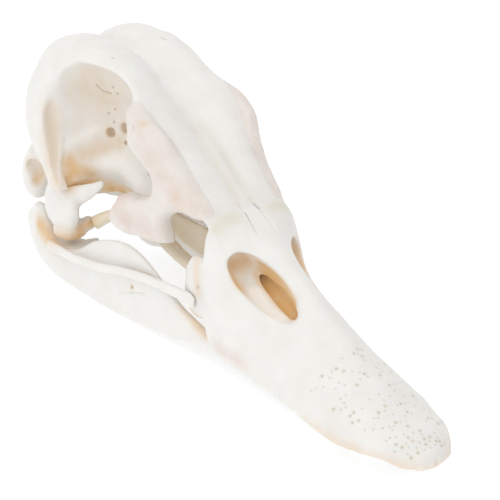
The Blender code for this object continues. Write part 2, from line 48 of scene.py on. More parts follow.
CAMERA_AZIMUTH = radians(-39.022)
CAMERA_HEIGHT = radians(26.639)
CAMERA_ROLL = radians(4.121)
CAMERA_DISTANCE = 450.109
CAMERA_TARGET = (0, 60.756, 22.849)
CAMERA_LENS = 163.0
CAMERA_SENSOR = 36
CAMERA_CLIP = 0.01


def place(x, s, z):
    """This place in metres, in the frame of the model."""
    return Vector((-x, s - MIDDLE, z)) / MM_PER_METRE


back = Vector((sin(CAMERA_AZIMUTH) * cos(CAMERA_HEIGHT), -cos(CAMERA_AZIMUTH) * cos(CAMERA_HEIGHT),
               sin(CAMERA_HEIGHT)))
level = (-back).cross(Vector((0, 0, 1))).normalized()
upward = level.cross(-back)
across = level * cos(CAMERA_ROLL) + upward * sin(CAMERA_ROLL)
up = upward * cos(CAMERA_ROLL) - level * sin(CAMERA_ROLL)
bpy.ops.object.camera_add()
camera = bpy.context.active_object
camera.name = "camera"
camera.matrix_world = (Matrix.Translation(place(*CAMERA_TARGET) + back * CAMERA_DISTANCE / MM_PER_METRE)
                       @ Matrix((across, up, back)).transposed().to_4x4())
camera.data.sensor_width = CAMERA_SENSOR
camera.data.lens = CAMERA_LENS
camera.data.clip_start = CAMERA_CLIP
bpy.context.scene.camera = camera

# Skull shell: cranium, lacrimals and upper bill, which grow together into one thin bone in a duck.
# They are swollen until their gaps close, worked here as one closed surface,
# and parted again along their sutures further down.
SHELL_BONES = ("cranium", "lacrimal_left", "lacrimal_right", "upper_bill")
SHELL_CELL = 0.00028
SHELL_ROUNDS = 4
GAP_CLOSING = 0.00022
GAP_RELAXING = -0.00016
SAME_CORNER = 1e-6
SOFT_STEPS = 10
SOFT_EDGE = 4


def only(piece):
    """Select this piece alone and make it the active one."""
    bpy.ops.object.select_all(action="DESELECT")
    piece.select_set(True)
    bpy.context.view_layer.objects.active = piece


def shaped(piece, kind, **settings):
    """Add a modifier of this kind and apply it."""
    only(piece)
    modifier = piece.modifiers.new(kind, kind)
    for name, value in settings.items():
        setattr(modifier, name, value)
    bpy.ops.object.modifier_apply(modifier=modifier.name)


def bone_copy(name, swell=0.0):
    """A copy of a bone of the frame, its corners merged, swollen by so many metres."""
    bpy.ops.object.select_all(action="DESELECT")
    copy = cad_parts[name].copy()
    copy.data = copy.data.copy()
    copy.parent = None
    copy.name = name + "_bone"
    for key in list(copy.keys()):
        del copy[key]
    bpy.context.collection.objects.link(copy)
    only(copy)
    bpy.ops.object.mode_set(mode="EDIT")
    bpy.ops.mesh.select_all(action="SELECT")
    bpy.ops.mesh.remove_doubles(threshold=SAME_CORNER)
    bpy.ops.object.mode_set(mode="OBJECT")
    if swell:
        shaped(copy, "DISPLACE", strength=swell, mid_level=0)
    return copy


def remeshed(piece, cell, rounds):
    """One even closed surface, smoothed as bone is."""
    shaped(piece, "REMESH", mode="VOXEL", voxel_size=cell)
    shaped(piece, "SMOOTH", factor=0.5, iterations=rounds)


def spots(piece):
    """The piece's points as (x, s, z) in mm."""
    flat = np.empty(len(piece.data.vertices) * 3, dtype=np.float32)
    piece.data.vertices.foreach_get("co", flat)
    co = flat.reshape(-1, 3).astype(float) * MM_PER_METRE
    return np.column_stack((-co[:, 0], co[:, 1] + MIDDLE, co[:, 2]))


def normals(piece):
    """The piece's point normals along x, s and z."""
    flat = np.empty(len(piece.data.vertices) * 3, dtype=np.float32)
    piece.data.vertices.foreach_get("normal", flat)
    return flat.reshape(-1, 3).astype(float) * (-1, 1, 1)


def move_to(piece, points):
    """Put the piece's points at these places in mm."""
    co = np.column_stack((-points[:, 0], points[:, 1] - MIDDLE, points[:, 2])) / MM_PER_METRE
    piece.data.vertices.foreach_set("co", co.astype(np.float32).ravel())
    piece.data.update()


def gap_to(points, line, both=True, apart=False):
    """How far each point is from a line of places, or from the nearest of places set apart.

    The line counts on both sides of the skull, or only where it is drawn."""
    if both:
        points = points.copy()
        points[:, 0] = abs(points[:, 0])
    line = np.array(line, dtype=float)
    nearest = np.full(len(points), np.inf)
    if apart or len(line) == 1:
        for spot in line:
            nearest = np.minimum(nearest, np.linalg.norm(points - spot, axis=1))
        return nearest
    for a, b in zip(line[:-1], line[1:]):
        share = np.clip((points - a) @ (b - a) / ((b - a) @ (b - a)), 0, 1)
        nearest = np.minimum(nearest, np.linalg.norm(points - a - share[:, None] * (b - a), axis=1))
    return nearest


def press(piece, line, width, depth, both=True, edge=2, apart=False):
    """Sink the surface along a line, or raise it where the depth is negative."""
    points = spots(piece)
    sink = depth * np.exp(-(gap_to(points, line, both, apart) / width) ** edge)
    move_to(piece, points - normals(piece) * sink[:, None])


def soften(piece, line, width, rounds, both=True):
    """Smooth the surface near a line more than elsewhere."""
    share = np.exp(-(gap_to(spots(piece), line, both) / width) ** SOFT_EDGE)
    group = piece.vertex_groups.new(name="soft")
    for step in range(1, SOFT_STEPS + 1):
        chosen = np.where(np.round(share * SOFT_STEPS) == step)[0]
        group.add([int(i) for i in chosen], step / SOFT_STEPS, "REPLACE")
    shaped(piece, "SMOOTH", factor=0.5, iterations=rounds, vertex_group="soft")
    piece.vertex_groups.clear()


def refine(piece, line, width, both=True, apart=False):
    """Halve the faces near a line, so that they can hold finer detail."""
    near = gap_to(spots(piece), line, both, apart) < width
    only(piece)
    bpy.ops.object.mode_set(mode="EDIT")
    bpy.ops.mesh.select_all(action="DESELECT")
    bpy.ops.object.mode_set(mode="OBJECT")
    loops = np.empty(len(piece.data.loops), dtype=np.int32)
    piece.data.loops.foreach_get("vertex_index", loops)
    starts = np.empty(len(piece.data.polygons), dtype=np.int32)
    piece.data.polygons.foreach_get("loop_start", starts)
    chosen = np.minimum.reduceat(near[loops].astype(np.int8), starts).astype(bool)
    piece.data.polygons.foreach_set("select", chosen)
    bpy.ops.object.mode_set(mode="EDIT")
    bpy.ops.mesh.select_mode(type="FACE")
    bpy.ops.mesh.subdivide(number_cuts=1)
    bpy.ops.object.mode_set(mode="OBJECT")


def uneven(piece, grain, strength):
    """Make the surface slightly uneven, as grown bone is."""
    texture = bpy.data.textures.new("growth", "CLOUDS")
    texture.noise_scale = grain
    shaped(piece, "DISPLACE", texture=texture, texture_coords="LOCAL", strength=strength, mid_level=0.5)


shell_parts = [bone_copy(name, GAP_CLOSING) for name in SHELL_BONES]
shell = shell_parts[0]
only(shell)
for part in shell_parts[1:]:
    part.select_set(True)
bpy.ops.object.join()
remeshed(shell, SHELL_CELL, SHELL_ROUNDS)
shaped(shell, "DISPLACE", strength=GAP_RELAXING, mid_level=0)
shaped(shell, "SMOOTH", factor=0.5, iterations=SHELL_ROUNDS)

# The wall between the eyes and the process behind each eye flow into the braincase without a crease
WALL_FOOT = [(11.5, 108, 22.5), (5.9, 105.4, 25.6), (2.9, 97.5, 28.0)]
PROCESS_FRONT = [(14.5, 111.8, 39.5), (14.2, 111.3, 32.6)]
PROCESS_ROOT = [(14.8, 111.8, 42.5), (14.4, 111.8, 37.5)]
soften(shell, WALL_FOOT, width=3.4, rounds=60)
soften(shell, PROCESS_FRONT, width=3.0, rounds=60)
soften(shell, PROCESS_ROOT, width=2.6, rounds=120)
# The brow is round, and the trough of the forehead is shallow and soft
BROW = [(9.0, 106.5, 50.8), (8.6, 99, 51.6), (8.6, 92, 50.6), (8.0, 86, 47.6)]
CROWN_TROUGH = [(0, 100, 48), (0, 90, 46), (0, 78, 40.5), (0, 68, 35.2), (0, 64, 33.0)]
soften(shell, BROW, width=4.6, rounds=260)
soften(shell, CROWN_TROUGH, width=3.4, rounds=140)
# The seams between the bones have grown over
LACRIMAL_SEAM = [(11.8, 86, 46.2), (11.4, 80, 44.2), (10.9, 75, 41), (10.2, 68, 35.6), (9.8, 64, 32)]
HINGE_SEAM = [(9.8, 62.4, 30.4), (5, 62.4, 32.0), (0, 62.4, 32.4)]
soften(shell, LACRIMAL_SEAM, width=2.2, rounds=70)
soften(shell, HINGE_SEAM, width=1.6, rounds=50)
# The back of the bill and the upper rim of the eye socket are rounded
BILL_BACK = [(0, 50, 27), (0, 34, 19.7), (0, 20, 13.3), (0, 10, 9.8)]
SOCKET_RIM = [(11.0, 87, 47.8), (10.1, 92, 49.8), (11.2, 99, 50.4), (11.6, 104, 49.6), (13.0, 108, 47.4),
              (14.6, 111, 43.4)]
soften(shell, BILL_BACK, width=5.0, rounds=220)
soften(shell, SOCKET_RIM, width=1.8, rounds=30)
uneven(shell, grain=0.007, strength=0.00022)

# Eye sockets: a thin wall between them runs down and forward into a rounded lobe.
# Ochre low in the socket, in a band under its ridge, under the lobe and at its back is painted shade.
# The lobe's face and the ridge are painted pale as painted light, and the lobe's thin lower edge is
# painted yellow-ochre for the light that passes through it. Every stain, painted shade and painted light
# is kept as a mark along a line of places, which all bones near it take.
MARKS = []
LOBE = [(5.5, 104.6, 24.6), (4.2, 102.2, 24.8), (3.1, 99.0, 24.4), (2.8, 95, 23.8)]
LOBE_FOOT = [(10.2, 107.6, 21.4), (8.0, 106.8, 20.4), (5.3, 104.7, 20.2)]
LOBE_FACE_LIGHT = [(5.0, 103.6, 25.6), (4.2, 102.7, 26.2), (3.3, 100.3, 26.6), (3.1, 96.8, 25.0),
             (2.6, 92, 24.0)]
LOBE_EDGE_LIGHT = [(3.0, 100.4, 21.3), (2.5, 96.9, 20.9), (2.5, 94.0, 21.2), (2.6, 91.0, 21.9)]
LOBE_SHADOW = [(11.3, 107.8, 20.6), (8.4, 106.6, 20.6), (5.3, 104.7, 20.5), (3.8, 102.7, 19.6),
               (3.2, 101.1, 19.6)]
SOCKET_CORNER_SHADE = [(11.3, 108.8, 25.0), (11.0, 107.7, 23.4), (12.6, 107.9, 22.3), (11.3, 107.8, 20.4)]
SOCKET_FLOOR_SHADE = [(9.8, 108.0, 23.4), (7.4, 106.6, 22.8)]
SOCKET_SHADE_BAND = [(8.9, 108.8, 26.0), (6.1, 107.3, 27.2), (4.3, 105.2, 28.2), (3.1, 103.1, 30.2)]
SOCKET_RIDGE_LIGHT = [(11.5, 110.6, 28.4), (9.3, 110.2, 29.6), (7.4, 109.4, 30.6), (5.6, 108.1, 31.9)]
SOCKET_BACK_SHADE = [(6.5, 106.5, 43.0), (5.0, 105.5, 38.0), (5.5, 105, 33)]


def mark(name, line, width, strength, both=True, edge=2, apart=False):
    """Note a mark that every bone near this line takes.

    Marks are ochre (stain and painted shade), ochre only where the skull hides part of the sky (painted
    shade), dark (painted shade in holes, pits, cracks and slits, and one dark speck), pink, green, pale
    (painted light)."""
    MARKS.append((name, line, width, strength, both, edge, apart))


press(shell, LOBE, width=2.5, depth=-1.0)
press(shell, LOBE_FOOT, width=2.0, depth=-0.9)
# The socket's ochre is painted shade; the pale lobe face and ridge, and the lobe edge's ochre, are painted
# light.
mark("ochre_and_shade", SOCKET_CORNER_SHADE, width=2.2, strength=1.0)
mark("ochre_and_shade", SOCKET_FLOOR_SHADE, width=1.9, strength=0.8)
mark("ochre_and_shade", LOBE_SHADOW, width=1.9, strength=1.0)
mark("ochre_and_shade", SOCKET_SHADE_BAND, width=2.3, strength=0.42)
mark("deep", SOCKET_BACK_SHADE, width=8.0, strength=0.44, edge=6)
mark("painted_light", LOBE_FACE_LIGHT, width=2.4, strength=0.9)
mark("painted_light", SOCKET_RIDGE_LIGHT, width=1.2, strength=0.6)
mark("ochre_and_shade", LOBE_EDGE_LIGHT, width=0.6, strength=0.75)

# Processes behind the eyes: each is a blade of bone, dished in front, with a thin ridge on its inner side.
# The dish is painted with shade, in ochre, all along.
DISH = [(15.2, 111.8, 42.0), (13.6, 112.7, 36.1), (13.6, 112.1, 31.8), (14.2, 110.8, 27.9),
        (14.9, 108.9, 25.4), (15.4, 106.9, 23.1)]
DISH_HEAD = DISH[:4]
DISH_SHADE = [(x + 0.3, s, z) for x, s, z in DISH[1:]]
DISH_RIDGE = [(12.2, 111.1, 29.7), (12.8, 110.2, 26.7), (14.1, 108.0, 24.4), (15.3, 106.0, 22.3)]
soften(shell, DISH_HEAD, width=2.3, rounds=140)
press(shell, DISH, width=1.7, depth=0.35)
press(shell, DISH_RIDGE, width=0.5, depth=-0.35)
mark("ochre_and_shade", DISH_SHADE, width=2.4, strength=0.34)

# Forehead: the frontals meet in a shallow trough between two low swells, which runs down to the hinge.
# The bone is thinnest there and at the hinge, and shows grey-green where light passes through it.
FOREHEAD_TROUGH = [(1.0, 79.7, 41.8), (1.3, 75.7, 39.7), (1.3, 72.2, 37.8), (1.2, 67.7, 35.2),
                   (1.6, 63.4, 32.6)]
FOREHEAD_SWELL = [(4.8, 78.0, 42.4), (5.0, 70.0, 37.4), (4.6, 64.0, 33.4)]
HINGE_RIGHT = [(8.6, 60.8, 30.6), (4.7, 60.3, 31.3)]
HINGE_LEFT = [(-3.6, 60.0, 31.2), (-8.6, 60.8, 30.6)]
CROWN_SPECK = [(8.5, 98.7, 51.9)]
CROWN_CRACK = [(-5.9, 102.6, 52.2), (-6.6, 100.0, 52.5), (-9.2, 100.1, 51.7)]
press(shell, FOREHEAD_TROUGH, width=1.8, depth=0.16)
press(shell, FOREHEAD_SWELL, width=2.4, depth=-0.1)
mark("green", HINGE_RIGHT, width=1.9, strength=0.42)
mark("green", HINGE_LEFT, width=2.0, strength=0.3, both=False)
mark("green", FOREHEAD_TROUGH, width=1.5, strength=0.3)
# The speck on the crown is dark, and the crack on its left is painted dark as painted shade.
mark("dark_and_shade", CROWN_SPECK, width=0.2, strength=0.5, both=False)
mark("dark_and_shade", CROWN_CRACK, width=0.12, strength=0.4, both=False)

# Back of the bill: premaxilla and nasals, grown together into one smooth roof.
# A faint keel runs along its middle.
BILL_KEEL = [(0, 46, 25.3), (0, 38.8, 22.0), (0, 28.2, 16.9), (0, 20, 13.2), (0, 13, 10.6)]
press(shell, BILL_KEEL, width=1.4, depth=-0.08)

# Nostrils: in each a thin sheet of bone ends in a crisp edge beside a deep slot; the sheet is painted
# pale cream as painted light. The slot is cut with an egg turned along the sheet. Its walls and the
# nostril's roof, back and cheek are painted orange-brown as painted shade, where the skull hides their sky.
SLOT = (2.5, 46.8, 18.9)
SLOT_RADII = (1.45, 9.8, 1.6)
SLOT_PITCH = radians(11)
SLOT_YAW = radians(-6.5)
SLOT_FINENESS = 5
SLOT_BOTTOM = [(1.4, 57, 20.6), (1.6, 50, 18.4), (2.2, 44, 17.2), (2.8, 40.6, 17.2)]
SLOT_WALL = [(1.2, 55, 22.0), (1.4, 48, 20.2), (2.4, 43, 19.0)]
NOSTRIL_ROOF = [(1.6, 56.5, 24.5), (2.4, 50, 22.6), (3.4, 43.0, 20.6)]
NOSTRIL_REAR = [(5.8, 57.6, 22.6), (3.0, 57.8, 22.6)]
NOSTRIL_CHEEK = [(7.6, 57.4, 22.4), (8.3, 53.6, 20.0)]
NOSTRIL_SHEET_LIGHT = [(4.9, 52.0, 18.6), (5.5, 48.0, 17.5), (5.5, 43.6, 17.2)]


def cut_with(piece, tool, operation):
    """Cut the piece with another closed mesh."""
    shaped(piece, "BOOLEAN", object=tool, operation=operation, solver="MANIFOLD")


for side in (1, -1):
    bpy.ops.mesh.primitive_ico_sphere_add(subdivisions=SLOT_FINENESS, radius=1 / MM_PER_METRE)
    slot_tool = bpy.context.active_object
    turn = Euler((SLOT_PITCH, 0, side * SLOT_YAW)).to_matrix().to_4x4()
    x, s, z = SLOT
    move = Matrix.Translation(place(side * x, s, z))
    slot_tool.data.transform(move @ turn @ Matrix.Diagonal((*SLOT_RADII, 1)))
    cut_with(shell, slot_tool, "DIFFERENCE")
    bpy.data.objects.remove(slot_tool)
# Painted shade in orange-brown ochre deep in the nostril, and painted light on its sheet.
mark("deep", SLOT_BOTTOM, width=1.9, strength=1.0, edge=4)
mark("deep", SLOT_WALL, width=1.6, strength=0.95, edge=4)
mark("deep", NOSTRIL_ROOF, width=1.5, strength=0.8, edge=4)
mark("deep", NOSTRIL_REAR, width=2.2, strength=0.85)
mark("deep", NOSTRIL_CHEEK, width=1.9, strength=0.75)
mark("painted_light", NOSTRIL_SHEET_LIGHT, width=1.7, strength=0.85, edge=4)

# Holes in the socket's wall, for the nerves of the eye: place, radius and depth of each.
# Finer ones lie round them, with a hair crack on the right side.
NERVE_HOLES = (((3.7, 105.3, 31.8), 0.85, 1.7), ((2.6, 102.0, 33.9), 0.95, 0.9),
               ((2.7, 101.1, 30.9), 0.4, 0.5))
SOCKET_PITS = ((4.1, 104.5, 42.5), (3.4, 103.8, 41.2), (3.3, 104.6, 37.3), (3.9, 106.0, 36.0),
               (3.3, 104.8, 34.3))
SOCKET_CRACK = [(6.0, 107.7, 42.2), (5.4, 107.3, 41.4), (4.8, 106.7, 40.9), (4.0, 105.4, 40.8)]
SOCKET_WALL = [(3.7, 106, 43), (3.4, 104.5, 31)]
refine(shell, SOCKET_WALL, width=4.2)
# Inside, the holes, pits and crack are painted dark brown as painted shade, with ochre round them.
for centre, radius, depth in NERVE_HOLES:
    press(shell, [centre], radius, depth, edge=4)
    mark("dark_and_shade", [centre], width=radius * 0.95, strength=1.0, edge=4)
    mark("ochre_and_shade", [centre], width=radius * 1.6, strength=0.8)
press(shell, SOCKET_PITS, width=0.26, depth=0.2, apart=True)
press(shell, SOCKET_CRACK, width=0.17, depth=0.16, both=False)
mark("dark_and_shade", SOCKET_PITS, width=0.22, strength=0.6, apart=True)
mark("ochre_and_shade", SOCKET_PITS, width=0.7, strength=0.35, apart=True)
mark("dark_and_shade", SOCKET_CRACK, width=0.13, strength=0.6, both=False)
mark("ochre_and_shade", SOCKET_CRACK, width=0.5, strength=0.4, both=False)

# Slits: two narrow gaps cross the hinge, where nasals and premaxilla part, so that the bill can bend there.
# A dark sliver shows in the left one.
RIGHT_SLIT = [(1.6, 63.4, 32.3), (1.8, 61.0, 31.5), (2.2, 58.6, 30.6), (2.4, 55.8, 29.3)]
LEFT_SLIT = [(-1.7, 63.8, 32.7), (-1.7, 61.0, 31.6), (-1.8, 58.0, 30.4), (-1.8, 55.0, 29.0)]
SLIT_SLIVER = [(-1.6, 62.4, 32.1), (-1.6, 61.0, 31.6)]
for slit in (RIGHT_SLIT, LEFT_SLIT):
    refine(shell, slit, width=1.5, both=False)
    press(shell, slit, width=0.22, depth=0.26, both=False)
# The slits are painted dark along their length as painted shade, and the sliver darkest.
mark("dark_and_shade", RIGHT_SLIT[1:], width=0.12, strength=0.5, both=False)
mark("dark_and_shade", LEFT_SLIT[1:], width=0.1, strength=0.35, both=False)
mark("dark_and_shade", SLIT_SLIVER, width=0.24, strength=0.9, both=False)

# Ears: a hollow behind each quadrate, where the eardrum was stretched.
# Its thin wall is yellow-brown with old grease.
EAR_HOLLOW = [(13.9, 119.4, 21.0), (12.6, 118.6, 19.4), (13.2, 118.2, 17.4)]
press(shell, EAR_HOLLOW, width=1.1, depth=1.1)
mark("ochre_and_shade", EAR_HOLLOW, width=1.2, strength=0.95)

# Lacrimal stains: the bone is porous and pinkish from its vessels, and fades into the forehead.
# Its blade under the eye ends in a lump, the pinkest place.
LACRIMAL_LUMP = [(12.4, 88.4, 25.6), (12.8, 85.8, 26.4)]
LACRIMAL_BAND = [(12.9, 80, 41.5), (12.9, 78.4, 40.5), (12.3, 75.5, 37.2), (11.5, 71.2, 33.3),
                 (10.9, 66.9, 31.7)]
LACRIMAL_FADE = [(11.0, 80, 44.5), (10.4, 72, 38.0), (9.6, 65, 32.6)]
LACRIMAL_BLADE = [(12.3, 89, 24), (13.1, 83.7, 22.0), (12.2, 78, 23.8)]
LACRIMAL_PORE = [(13.6, 83.2, 43.6)]
LACRIMAL_SMUDGE = [(12.8, 80.9, 45.1), (12.9, 82.0, 44.6)]
LACRIMAL_FOOT = [(10.9, 70.6, 32.4), (10.8, 69.4, 31.2)]
LACRIMAL_LEFT_SIDE = [(-12.6, 84, 44), (-12.4, 78, 41)]
press(shell, LACRIMAL_LUMP, width=1.3, depth=-0.45)
mark("pink", LACRIMAL_BAND, width=2.6, strength=0.42)
mark("pink", LACRIMAL_FADE, width=3.4, strength=0.16)
mark("pink", LACRIMAL_BLADE, width=3.0, strength=0.45)
mark("pink", LACRIMAL_LUMP, width=1.6, strength=0.8)
# The pore is painted dark inside as painted shade.
mark("dark_and_shade", LACRIMAL_PORE, width=0.28, strength=0.4, both=False)
mark("ochre_and_shade", LACRIMAL_SMUDGE, width=0.9, strength=0.3, both=False)
mark("ochre_and_shade", LACRIMAL_FOOT, width=1.3, strength=0.2)
mark("ochre_and_shade", LACRIMAL_LEFT_SIDE, width=2.4, strength=0.2, both=False)

# Nerve pits: they pepper the end of the bill, closest together near its rim, and are drawn at random.
# Every third is wide. The rim is browner, and the nail is notched where it meets it.
PIT_SEED = 11
PIT_COUNT = 135
PIT_GAP = 0.8
PIT_TRIES = 4000
PIT_FIRST = 4.0
PIT_SPAN = 24
PIT_CROWDING = 1.9
PIT_REACH_AT_NAIL = 3.2
PIT_REACH_WIDENING = 0.8
PIT_REACH_MOST = 9.4
NAIL_BACK = 3
ABOVE_BILL = 40
NAIL_NOTCH = [(-0.6, 2.2, 5.2), (-0.7, 2.3, 3.2)]
BILL_RIM = [(11.7, 18.6, 4.6), (9.6, 9.6, 4.8), (6, 4.2, 4.2), (0, 2.6, 3.2)]
BILL_RIM_SIDE = [(11.6, 26, 4.9), (11.6, 19, 4.6)]
all_bones = bmesh.new()
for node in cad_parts.values():
    all_bones.from_mesh(node.data)
solids = BVHTree.FromBMesh(all_bones)
all_bones.free()
dice = Random(PIT_SEED)
pits = []
for _ in range(PIT_TRIES):
    s = PIT_FIRST + PIT_SPAN * dice.random() ** PIT_CROWDING
    reach = min(PIT_REACH_MOST, PIT_REACH_AT_NAIL + PIT_REACH_WIDENING * (s - NAIL_BACK))
    x = dice.uniform(-reach, reach)
    found = solids.ray_cast(place(x, s, ABOVE_BILL), Vector((0, 0, -1)))[0]
    spot = (x, s, found.z * MM_PER_METRE)
    if len(pits) < PIT_COUNT and all((Vector(spot) - Vector(other)).length > PIT_GAP for other in pits):
        pits.append(spot)
wide_pits = pits[::3]
fine_pits = [spot for spot in pits if spot not in wide_pits]
refine(shell, pits, width=0.75, both=False, apart=True)
press(shell, wide_pits, width=0.24, depth=0.2, both=False, apart=True)
press(shell, fine_pits, width=0.2, depth=0.17, both=False, apart=True)
refine(shell, NAIL_NOTCH, width=1.5, both=False)
press(shell, NAIL_NOTCH, width=0.35, depth=0.45, both=False)
# Inside, the pits and the nail's notch are painted dark as painted shade; the wide pits have an olive ring.
mark("dark_and_shade", wide_pits, width=0.22, strength=0.3, both=False, apart=True)
mark("green", wide_pits, width=0.42, strength=0.55, both=False, apart=True)
mark("dark_and_shade", fine_pits, width=0.2, strength=0.3, both=False, apart=True)
mark("dark_and_shade", NAIL_NOTCH, width=0.25, strength=0.5, both=False)
mark("ochre_and_shade", BILL_RIM, width=1.4, strength=0.34)
mark("ochre_and_shade", BILL_RIM_SIDE, width=1.3, strength=0.25)

# Marks that neighbouring bones share: ochre painted as shade in the recesses at the window before the eye
# and at the corner of the mouth, with the window's pores painted dark as painted shade, a pink cheek,
# and ochre stain round the joint of quadrate and jaw, where the gristle held its grease longest.
MOUTH_CORNER_SHADE = [(11.6, 66.4, 10.4), (11.0, 63.0, 8.4), (10.7, 59.9, 7.2)]
CHEEK_SIDE = [(11.7, 54.4, 7.0), (11.6, 50.3, 7.1), (11.4, 45.6, 7.1)]
WINDOW_PORES = [(10.9, 64.4, 22.6), (10.9, 62.6, 16.6)]
WINDOW_SIDE_SHADE = [(10.8, 64.8, 23.4), (10.9, 62.4, 15.4)]
JAW_JOINT = [(14.5, 114.8, 8.7), (14.7, 110.6, 7.4), (15.1, 106.2, 9.4), (11.4, 104.1, 10.2)]
QUADRATE_FOOT = [(11.4, 104.1, 11.4), (9.4, 103.4, 12.6)]
mark("ochre_and_shade", MOUTH_CORNER_SHADE, width=1.3, strength=0.55)
mark("pink", CHEEK_SIDE, width=1.6, strength=0.35)
mark("dark_and_shade", WINDOW_PORES, width=0.4, strength=0.4, apart=True)
mark("ochre_and_shade", WINDOW_SIDE_SHADE, width=1.3, strength=0.3)
mark("ochre_and_shade", JAW_JOINT, width=2.0, strength=0.8)
mark("ochre_and_shade", QUADRATE_FOOT, width=1.4, strength=0.8)

# Bone finish: compact bone, boiled, bleached and dried, which leaves it off-white with a soft, waxy gloss.
# Light enters it a little way, so its edges glow and its hollows turn warm.
# Pattern sizes are in mm. Real pores are some 0.1 mm wide, too fine to show, so they are drawn coarser.
# The palest colour is painted light, the ochre is stain and painted shade, and the darkest brown is painted
# shade in holes, pits, cracks and slits, with one dark speck.
PAINTED_LIGHT = "#F8F5EF"
GREEN = "#D3CCB2"
PINK = "#DBC3BA"
OCHRE_AND_SHADE = "#DDB47A"
DARK_AND_SHADE = "#6E3F1C"
STAINS_AND_PAINTED_LIGHT = (("painted_light", PAINTED_LIGHT, 0.0), ("green", GREEN, 0.2), ("pink", PINK, 0.3), ("ochre_and_shade", OCHRE_AND_SHADE, 0.2),
          ("dark_and_shade", DARK_AND_SHADE, 0.0))
MOTTLE_SIZE = 100 / 19
GRAIN_SIZE = 2 / 3
PORE_SIZE = 10 / 13
BUMP_HEIGHT = 0.00006
BONE_IOR = 1.5
LIGHT_DEPTH = 0.0012


def linear(code):
    """The linear colour of an sRGB hex code."""
    parts = [int(code[i:i + 2], 16) / 255 for i in (1, 3, 5)]
    return [p / 12.92 if p <= 0.04045 else ((p + 0.055) / 1.055) ** 2.4 for p in parts] + [1]


def add(tree, kind, settings, inputs):
    """A node with its settings, and its inputs set or linked."""
    node = tree.nodes.new(kind)
    for name, value in settings.items():
        setattr(node, name, value)
    for name, value in inputs.items():
        if isinstance(value, bpy.types.NodeSocket):
            tree.links.new(value, node.inputs[name])
        else:
            node.inputs[name].default_value = value
    return node


def bone_material(name, colour, shade, pores):
    """Dried bone: mottled between two colours, with its marks' stains, painted shade and painted light, and
    fine pores.
    """
    material = bpy.data.materials.new(name)
    material.use_nodes = True
    tree = material.node_tree
    shader = tree.nodes["Principled BSDF"]
    where = add(tree, "ShaderNodeTexCoord", {}, {}).outputs["Object"]
    cloud = add(tree, "ShaderNodeTexNoise", {},
                {"Vector": where, "Scale": MM_PER_METRE / MOTTLE_SIZE, "Detail": 4.0, "Roughness": 0.6})
    grain = add(tree, "ShaderNodeTexNoise", {},
                {"Vector": where, "Scale": MM_PER_METRE / GRAIN_SIZE, "Detail": 3.0, "Roughness": 0.6})
    blotch = add(tree, "ShaderNodeMapRange", {},
                 {"Value": cloud.outputs["Fac"], "From Min": 0.35, "From Max": 0.8})
    base = add(tree, "ShaderNodeMix", {"data_type": "RGBA"},
               {0: blotch.outputs["Result"], 6: linear(colour), 7: linear(shade)}).outputs[2]
    for stain_and_shade, stain_and_shade_colour, ragged in STAINS_AND_PAINTED_LIGHT:
        value = add(tree, "ShaderNodeAttribute", {"attribute_name": stain_and_shade}, {}).outputs["Fac"]
        if ragged:
            wave = add(tree, "ShaderNodeMapRange", {"clamp": False},
                       {"Value": cloud.outputs["Fac"], "From Min": 0.35, "From Max": 0.65,
                        "To Min": 1 - ragged, "To Max": 1 + ragged}).outputs["Result"]
            value = add(tree, "ShaderNodeMath", {"operation": "MULTIPLY", "use_clamp": True},
                        {0: value, 1: wave}).outputs[0]
        base = add(tree, "ShaderNodeMix", {"data_type": "RGBA"},
                   {0: value, 6: base, 7: linear(stain_and_shade_colour)}).outputs[2]
    tree.links.new(base, shader.inputs["Base Color"])
    rough = add(tree, "ShaderNodeMapRange", {},
                {"Value": grain.outputs["Fac"], "To Min": 0.42, "To Max": 0.62})
    tree.links.new(rough.outputs["Result"], shader.inputs["Roughness"])
    holes = add(tree, "ShaderNodeTexVoronoi", {"feature": "F1"},
                {"Vector": where, "Scale": MM_PER_METRE / PORE_SIZE})
    rims = add(tree, "ShaderNodeMapRange", {},
               {"Value": holes.outputs["Distance"], "From Min": 0.0, "From Max": 0.35})
    relief = add(tree, "ShaderNodeMath", {"operation": "MULTIPLY_ADD"},
                 {0: rims.outputs["Result"], 1: pores, 2: grain.outputs["Fac"]})
    bump = add(tree, "ShaderNodeBump", {},
               {"Height": relief.outputs[0], "Strength": 0.25, "Distance": BUMP_HEIGHT})
    tree.links.new(bump.outputs["Normal"], shader.inputs["Normal"])
    shader.inputs["IOR"].default_value = BONE_IOR
    shader.inputs["Subsurface Weight"].default_value = 0.12
    shader.inputs["Subsurface Radius"].default_value = (1.0, 0.6, 0.35)
    shader.inputs["Subsurface Scale"].default_value = LIGHT_DEPTH
    return material


# Bleached bone: the compact outer bone, which peroxide whitened and handling polished to a satin gloss
white_bone = bone_material("bleached_bone", "#EBE9E5", "#E5E2DD", pores=0.25)
# Porous bone: young and full of vessels, which bleach less and leave it rough and pinkish
porous_bone = bone_material("porous_bone", "#E7E2DC", "#DFD6CD", pores=0.9)
# Stained bone: inner bones that the bleach barely reached, creamy with old grease,
# and painted lighter than the outer bone as painted light, which lifts them out of the shade inside the
# skull.
stained_bone = bone_material("stained_bone", "#F6ECD9", "#F0E1C4", pores=0.4)

# Cranium: braincase and frontals, one bone in a grown duck, with thin walls and a smooth, domed top.
# It is parted from the lacrimals and the bill with slightly swollen copies of them.
# Each finished bone also takes ochre where the skull hides most of the sky: painted shade in its hollows,
# which also stands for grease that stays there.
TOOL_SWELL = 0.0006
TOOL_CELL = 0.0004
TOOL_ROUNDS = 2
CRANIUM_THINNING = 0.61
SKY_RAYS = 14
SKY_REACH = 0.014
SKY_START = 0.0005
GOLDEN_ANGLE = 2.399963
SPREAD_ROUNDS = 10
SPREAD_SHARE = 0.6
DEEP_FROM = 0.3
CREASE = radians(55)


